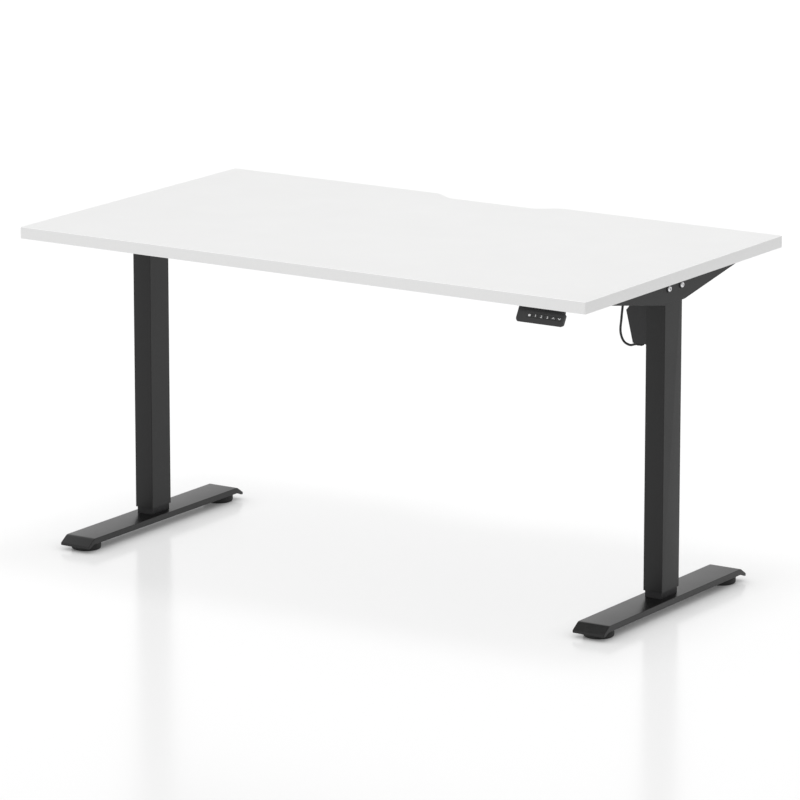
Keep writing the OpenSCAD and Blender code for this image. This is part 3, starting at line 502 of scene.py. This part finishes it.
def buildBracket(side):
    # One L section carried along y: its flange stays, and the web's lower edge rises in a straight line past the
    # flat stretch at the column
    b = bracket
    near, far = b["crease"] - b["flat"], -b["crease"] - b["flat"]  # close rows where the lower edge turns up
    y = np.concatenate([np.linspace(-b["half"], far, 12), np.linspace(far + 1, near, 14)])
    y = np.concatenate([y, [0], -y[::-1]])
    rise = (b["tip"] - b["low"]) / (b["half"] - b["flat"])
    lower = b["low"] + rise * softened(abs(y) - b["flat"], 1.5)
    outer, inner, under = b["face"], b["face"] - b["sheet"], b["top"] - b["sheet"]
    upper = np.vstack([
        arc(outer - b["bend"], b["top"] - b["bend"], b["bend"], 0, 90),
        [(outer - b["flange"], b["top"]), (outer - b["flange"], under)],
        arc(inner - 0.6, under - 0.6, 0.6, 90, 0, 3),
    ])
    rows = [np.vstack([[(inner, z), (inner + 0.4, z), (outer - 0.4, z), (outer, z + 0.4)], upper]) for z in lower]
    grid = np.stack([np.column_stack([side * row[:, 0], np.full(len(row), at), row[:, 1]]) for row, at in zip(rows, y)])
    name = "Right" if side > 0 else "Left"
    Skin().add(grid).piece("bracket" + name, "upper_frame", "black_powder_coat", "powder",
                           "side_bracket_" + name.lower(), sharp=30)


for side in (-1, 1):
    buildBracket(side)

# Button heads with a hex socket, on black washers

bolt = {"seat": 673.2, "end": 616.5, "across": 25.6, "height": 686, "head": 6.2, "shoulder": 3.4, "shank": 3,
        "rise": 3.4, "socket": 2.3}
washer = {"hole": 3.05, "radius": 7.5, "thick": 1.2, "ease": 0.3}


def hexReach(section, turn):
    # Radius of a regular hexagon at an angle: its inner radius over the cosine of the angle from the nearest flat.
    # The third number of each section point says how much of the hexagon the row has.
    flat = np.abs((turn % (np.pi / 3)) - np.pi / 6)
    share = section[:, 2:3]
    return section[:, :1] * (1 - share + share / np.cos(flat) * np.ones(len(turn)))


def buildBolts():
    # Sections of (radius, height, share of the hexagon) turned about x: shank, seat, dome and socket
    heads, washers = Skin(), Skin()
    dome = np.radians(np.linspace(0, 60, 9))
    top = bolt["rise"]
    section = [(bolt["shank"], bolt["end"] - bolt["seat"], 0), (bolt["shank"], 0, 0), (bolt["head"] - 0.3, 0, 0),
               (bolt["head"], 0.25, 0)]
    section += [(bolt["head"] - bolt["shoulder"] * (1 - math.cos(t)),
                 0.4 + (top - 0.4) * math.sin(t) / math.sin(dome[-1]), 0) for t in dome]
    section += [(bolt["socket"] + 0.9, top, 0), (bolt["socket"] + 0.35, top - 0.1, 0.5), (bolt["socket"], top - 0.4, 1),
                (bolt["socket"], 1.1, 1), (bolt["socket"] - 0.3, 0.9, 1)]
    hole, radius, thick, ease = washer.values()
    rim = [(radius - ease, 0), (radius, ease), (radius, thick - ease), (radius - ease, thick)]
    ring = [(hole, 0), *rim, (hole, thick)]
    for side in (-1, 1):
        for y in (-bolt["across"], bolt["across"]):
            flip = np.array((side, 1, 1))
            heads.add(spun(section, (bolt["seat"], y, bolt["height"]), "x", 48, hexReach) * flip)
            washers.add(spun(ring, (bolt["seat"] - thick, y, bolt["height"]), "x") * flip, along=True)
    heads.piece("bracketBolts", "upper_frame", "bright_bolts", "bright", "bracket_bolts", sharp=32)
    washers.piece("bracketWashers", "upper_frame", "black_washer", "blackWasher", "bracket_washers", sharp=32)


buildBolts()
print("brackets and bolts done")


# Feet: a tray of folded sheet, open below, whose ends slope down to a lip

foot = {"leg": 647, "half": 37.5, "length": 292.5, "flat": 270.5, "top": 30, "end": 15.5, "wall": 17, "lip": 10.5,
        "lipStart": 287.5, "sheet": 3, "bend": 1.2, "corner": 1.8, "crease": 9, "boss": 8, "bossHole": 4.05,
        "bossLow": 7, "padAt": 250}


def footRing(inset, height):
    # One ring of the tray: a rounded rectangle drawn in by inset, at the height that a function gives for each y
    corner = max(foot["corner"] - inset, 0.5)
    x, y = foot["half"] - inset, foot["length"] - inset
    crease = foot["flat"] + np.linspace(-foot["crease"], foot["crease"], 13)  # close rows where the top bends down
    sides = np.concatenate([-crease[::-1], np.linspace(-240, 240, 9), crease, [foot["lipStart"] - 1.5]])
    sides = sides[np.abs(sides) < y - corner - 0.2]
    sides = np.sort(np.append(sides, -sides[-1:]))
    right = np.vstack([arc(x - corner, corner - y, corner, -90, 0, 5), np.column_stack([np.full(len(sides), x), sides]),
                       arc(x - corner, y - corner, corner, 0, 90, 5)])
    plan = np.vstack([right, right[::-1] * (-1, 1)])
    return np.column_stack([plan, height(plan[:, 1])])


def footTop(y):
    # Level as far as the crease, then falling in a straight line to the end
    slope = (foot["top"] - foot["end"]) / (foot["length"] - foot["flat"])
    return foot["top"] - slope * softened(abs(y) - foot["flat"], 1.3)


def footRim(y):
    # Lower edge of the walls: level as far as the crease, then falling in a straight line to the lip
    return np.interp(abs(y), [foot["flat"], foot["lipStart"]], [foot["wall"], foot["lip"]])


def buildFoot(side, name):
    # Rings from the middle of the top out over the bend, down the wall, under its edge and up again inside.
    # The ring's inset and drop over the bend follow a quarter circle.
    f, turn = foot, np.radians(np.linspace(0, 90, 6))
    rings = [footRing(f["bend"] * (1 - math.sin(t)), lambda y, t=t: footTop(y) - f["bend"] * (1 - math.cos(t)))
             for t in turn]
    rings += [footRing(0, lambda y: footRim(y) + 0.5), footRing(0.5, footRim), footRing(f["sheet"] - 0.5, footRim),
              footRing(f["sheet"], lambda y: footRim(y) + 0.5),
              footRing(f["sheet"], lambda y: np.maximum(footTop(y) - f["sheet"] - 1, footRim(y) + 0.6)),
              footRing(f["sheet"] + 1, lambda y: np.maximum(footTop(y) - f["sheet"], footRim(y) + 0.8))]
    skin = Skin().add(np.stack(rings), strips=True)
    boss = [(f["bossHole"], f["bossLow"] + 0.5), (f["bossHole"] + 0.5, f["bossLow"]), (f["boss"] - 0.6, f["bossLow"]),
            (f["boss"], f["bossLow"] + 0.6), (f["boss"], f["top"] - f["sheet"] + 0.5),
            (f["bossHole"], f["top"] - f["sheet"] + 0.5)]
    for y in (-f["padAt"], f["padAt"]):
        skin.add(spun(boss, (0, y, 0)), along=True)
    skin.points = [points + (side * f["leg"], 0, 0) for points in skin.points]
    skin.piece("foot" + name, name.lower() + "_base", "black_powder_coat", "footPowder",
               "foot_" + name.lower(), sharp=30)


# Levelling pads: a rubber disc with a neck, turned about the stud, with three grooves under it

pad = {"radius": 32, "height": 16, "neck": 16, "top": 27, "hole": 4, "cavity": 9, "floor": 2,
       "grooves": (13, 19, 25)}


def buildPad(side, end, names):
    # One closed section, from the hole out under the disc, round its rim, up the neck and down the hollow
    p = pad
    under = [(p["hole"], 0.4), (p["hole"] + 0.4, 0)]
    for r in p["grooves"]:
        under += [(r - 1, 0), (r - 0.6, 0.6), (r + 0.6, 0.6), (r + 1, 0)]
    section = np.vstack([
        under, arc(p["radius"] - 4, 4, 4, -90, 0, 7), arc(p["radius"] - 1.6, p["height"] - 1.6, 1.6, 0, 90, 4),
        arc(p["neck"] + 2, p["height"] + 2, 2, 270, 180, 4), arc(p["neck"] - 1, p["top"] - 1, 1, 0, 90, 3),
        [(p["cavity"] + 0.5, p["top"]), (p["cavity"], p["top"] - 0.5)],
        [(p["cavity"], p["floor"]), (p["hole"], p["floor"])],
    ])
    node = f"pad_{names[0]}_{names[1]}"
    grid = spun(section, (side * foot["leg"], end * foot["padAt"], 0), steps=72)
    title = "pad" + names[0].title() + names[1].title()
    Skin().add(grid, along=True).piece(title, node, "pad_rubber", "pad", node, sharp=30)


for side, name in ((-1, "left"), (1, "right")):
    buildFoot(side, name.title())
    for end, where in ((-1, "front"), (1, "rear")):
        buildPad(side, end, (where, name))
print("feet and pads done")


# Spindles: a trapezoid thread with four starts, and a plain neck through the bearing

spindle = {"radius": 8, "depth": 1.1, "lead": 16, "starts": 4, "low": 60, "high": 616.5, "neck": 5, "neckTop": 634}


def buildSpindle(side, name):
    # The radius falls from crest to root as a trapezoid wave of the height less the lead times the share of a turn
    s, cols = spindle, 40
    z = np.arange(s["low"], s["high"], 0.8)[:, None]
    turn = np.linspace(0, 2 * np.pi, cols, endpoint=False)[None, :]
    phase = ((z - side * s["lead"] * turn / (2 * np.pi)) * s["starts"] / s["lead"]) % 1
    wave = np.clip(np.abs(phase - 0.5) * 4 - 0.5, 0, 1)
    ends = np.clip(np.minimum(z - s["low"], s["high"] - z) / 3, 0, 1)
    radius = s["radius"] - s["depth"] * (1 - (1 - wave) * ends)
    grid = np.stack([radius * np.cos(turn), radius * np.sin(turn), z + 0 * turn], -1)
    neck = spun([(s["neck"], s["high"] - 1), (s["neck"], s["neckTop"] - 0.5), (s["neck"] - 0.5, s["neckTop"])],
                (0, 0, 0), steps=cols)
    grid = np.vstack([grid, neck]) + (side * foot["leg"], 0, 0)
    Skin().add(grid).piece("spindle" + name, "spindle_" + name.lower(), "bearing_steel", "steel",
                           "spindle_" + name.lower(), sharp=30)


buildSpindle(1, "Right")
buildSpindle(-1, "Left")
print("spindles done")


# Handset keys: flat caps with rounded corners and a shallow dish, each with a plain mark

keys = {"middle": (590, -390.95, 687), "lean": 29.5, "width": 11, "height": 8, "corner": 1.2, "first": -25.5,
        "pitch": 14, "up": -2.5, "back": -3, "top": 0.4}


def onFace(points):
    # Local x runs to the right, y up the leaning face and z out of it
    lean = math.radians(keys["lean"])
    right, up = np.array((1, 0, 0)), np.array((0, math.sin(lean), math.cos(lean)))
    out = np.array((0, -math.cos(lean), math.sin(lean)))
    return np.array(keys["middle"]) + points[..., :1] * right + points[..., 1:2] * up + points[..., 2:] * out


def stroke(points, width=0.95):
    # A line widened to both sides: each point moves along the mean of its neighbours' normals
    points = np.asarray(points, float)
    step = np.diff(points, axis=0)
    step /= np.linalg.norm(step, axis=1)[:, None]
    normal = np.stack([-step[:, 1], step[:, 0]], -1)
    before, after = np.vstack([normal[:1], normal]), np.vstack([normal, normal[-1:]])
    shift = width / 2 * (before + after) / (1 + (before * after).sum(1))[:, None]
    return np.vstack([points - shift, (points + shift)[::-1]])


def markOutlines():
    # A filled square to store a height, the numbers of three stored heights, and arrows for up and down
    two = np.vstack([arc(0, 1, 1.15, 160, -35, 10), [(-1.2, -2), (1.5, -2)]])
    three = np.vstack([arc(0, 1.05, 1, 150, -75, 8), arc(0, -1, 1.15, 70, -150, 9)])
    arrow = np.array([(-2.9, -1.5), (0, 1.5), (2.9, -1.5)])
    return {"memory": roundedOutline(4.8, 4.2, 0.6), "one": stroke([(-0.9, 1.2), (0.3, 2.1), (0.3, -2.2)]),
            "two": stroke(two), "three": stroke(three), "up": stroke(arrow), "down": stroke(arrow * (1, -1))}


def keyRow(inset, height):
    # One row of a key: its rounded outline, smaller on each side by inset, at a height above the face
    k = keys
    outline = roundedOutline(k["width"] - 2 * inset, k["height"] - 2 * inset, max(k["corner"] - inset, 0.4))
    return np.column_stack([outline, np.full(len(outline), height)])


def buildKeys():
    top = keys["top"]
    steps = [(0, keys["back"]), (0, top - 0.25), (0.07, top - 0.1), (0.25, top), (1.2, top - 0.03), (2.6, top - 0.08)]
    cap = np.stack([keyRow(inset, height) for inset, height in steps])
    for i, (name, outline) in enumerate(markOutlines().items()):
        centre = np.array((keys["first"] + i * keys["pitch"], keys["up"], 0))
        node = "key_" + name
        Skin().add(onFace(cap + centre)).piece("key" + name.title(), node, "handset_face", "face", node, sharp=35)
        inked = levels(outline, [(0, top - 0.2), (0, top + 0.02)]) + centre
        Skin().add(onFace(inked)).piece("mark" + name.title(), node, "handset_face", "mark")


buildKeys()
print("keys done")


# Parts that keep the frame's own shape, with their edges eased and their curved faces smooth

eased = [
    ("outer_tube_left", "upper_frame", "black_powder_coat", "powder", 0.25),
    ("outer_tube_right", "upper_frame", "black_powder_coat", "powder", 0.25),
    # the inner tubes' finish is painted shade, a duller copy of the black coat
    ("inner_tube_left", "left_base", "black_powder_coat", "innerPowderPaintedShade", 0.25),
    ("inner_tube_right", "right_base", "black_powder_coat", "innerPowderPaintedShade", 0.25),
    ("crossbeam_end_left", "upper_frame", "black_powder_coat", "powder", 0.5),
    ("crossbeam_end_right", "upper_frame", "black_powder_coat", "powder", 0.5),
    ("crossbeam_sleeves", "upper_frame", "black_powder_coat", "powder", 0.5),
    ("motor_cover", "upper_frame", "cover_plastic", "cover", 0.9),
    ("cable_gland", "upper_frame", "gland_rubber", "gland", 0.8),
    ("control_box_base", "upper_frame", "box_plastic", "box", 0.6),
    ("control_box_lid", "upper_frame", "box_plastic", "box", 0.6),
    ("handset_case", "upper_frame", "handset_plastic", "handset", 0.8),
    ("handset_panel", "upper_frame", "handset_face", "face", 0.35),
]


def camel(name):
    first, *rest = name.split("_")
    return first + "".join(word.title() for word in rest)


def easeEdges(node, body, slot, finish, width):
    # A copy of the frame's mesh, merged into whole flat faces, so that the bevel follows only the real edges
    mesh = cad[node].data.copy()
    shell = bmesh.new()
    shell.from_mesh(mesh)
    bmesh.ops.remove_doubles(shell, verts=shell.verts, dist=2e-6)
    bmesh.ops.dissolve_limit(shell, angle_limit=math.radians(0.6), verts=shell.verts, edges=shell.edges)
    shell.to_mesh(mesh)
    shell.free()
    made = settle(camel(node), mesh, body, finish, node, 30)
    bevel = made.modifiers.new("easedEdges", "BEVEL")
    bevel.width, bevel.segments, bevel.limit_method, bevel.angle_limit = width * mm, 2, "ANGLE", math.radians(32)
    bevel.use_clamp_overlap = True


for entry in eased:
    easeEdges(*entry)
print("eased parts done:", len(eased))


# Every other part of the frame gets its finish as it is

kept = {
    "zinc": ("desktop_screws", "foot_screws_left", "foot_screws_right", "stud_front_left", "stud_rear_left",
             "stud_front_right", "stud_rear_right"),
    "guide": ("guide_collar_left", "guide_collar_right"),
    "nut": ("spindle_nut_left", "spindle_nut_right"),
    "cast": ("gearbox_left", "gearbox_right", "motor_gearbox"),
    "steel": ("thrust_bearings", "spindle_gear_left", "spindle_gear_right", "shaft_gears"),
    "shaftSteel": ("hex_shaft",),
    "bronze": ("worm_wheel",),
    "motorCan": ("drive_motor",),
    "clip": ("cable_clips",),
    "circuit": ("control_board", "handset_board"),
    "inlet": ("power_inlet",),
}
for finish, names in kept.items():
    for name in names:
        cad[name].data.materials.clear()
        cad[name].data.materials.append(coats[finish])
shown = [name for name, node in cad.items() if not node.hide_render]
print("frame parts shown as they are:", len(shown))


# Floor, world and lights

# The floor's glow keeps it near white, and an ambient occlusion mask darkens the glow close to whatever stands on it: a
# painted contact shadow, its reach given in millimetres.
# The sky is darker towards +X by "shade".
studio = {"floor": 30, "albedo": 0.36, "glow": 0.555, "gloss": 0.16, "paintedShadowReach": 80, "sky": 0.95, "shade": 0.5}
lamp = {"place": (0.2, 0.1, 5), "target": (0, 0, 0.5), "size": 1.3, "power": 60}


def buildStudio():
    half = studio["floor"] * 1000
    corners = np.array([[(-half, -half, 0), (half, -half, 0)], [(-half, half, 0), (half, half, 0)]], float)
    mesh = bpy.data.meshes.new("studioFloor")
    mesh.from_pydata((corners.reshape(-1, 3) * mm).tolist(), [], [(0, 1, 3, 2)])
    floor = bpy.data.objects.new("studioFloor", mesh)
    bpy.context.scene.collection.objects.link(floor)
    level = studio["albedo"]

    def paper(wire):
        cloud = wire.noise(900, 2)
        # near is a painted contact shadow: ambient occlusion darkens the floor's glow close to whatever stands on it
        near = wire.node("AmbientOcclusion", {"samples": 8}, {"Distance": studio["paintedShadowReach"] * mm}, out="AO")
        return {"Base Color": cloud.tint((level, level, level), (level * 1.01, level * 1.01, level * 1.01)),
                "Emission Color": near.tint((0.1, 0.1, 0.1), (1, 1, 1)),
                "Roughness": studio["gloss"] + cloud * 0.02}

    mesh.materials.append(coat("paleFloor", paper, Specular_IOR_Level=0.1, Emission_Strength=studio["glow"]))
    world = bpy.data.worlds.new("studioSky")
    bpy.context.scene.world = world
    world.use_nodes = True
    tree = world.node_tree
    tree.nodes.clear()
    start = Wire(tree)
    way = start.node("TexCoord", {}, {}, out="Generated")
    right = start.node("SeparateXYZ", {}, {0: way}, out="X")
    sky = studio["sky"]
    dim = sky * (1 - studio["shade"])
    colour = right.ramp(0.0, 1.0).tint((sky, sky, sky), (dim, dim, dim))
    light = start.node("Background", {}, {"Color": colour, "Strength": 1.0})
    start.node("OutputWorld", {}, {"Surface": light})


def hangLamp():
    data = bpy.data.lights.new("overheadLight", "AREA")
    data.shape, data.size, data.energy = "DISK", lamp["size"], lamp["power"]
    aimed("overheadLight", data, lamp)


buildStudio()
hangLamp()
bpy.context.scene.view_settings.view_transform = "Standard"
print("studio done")
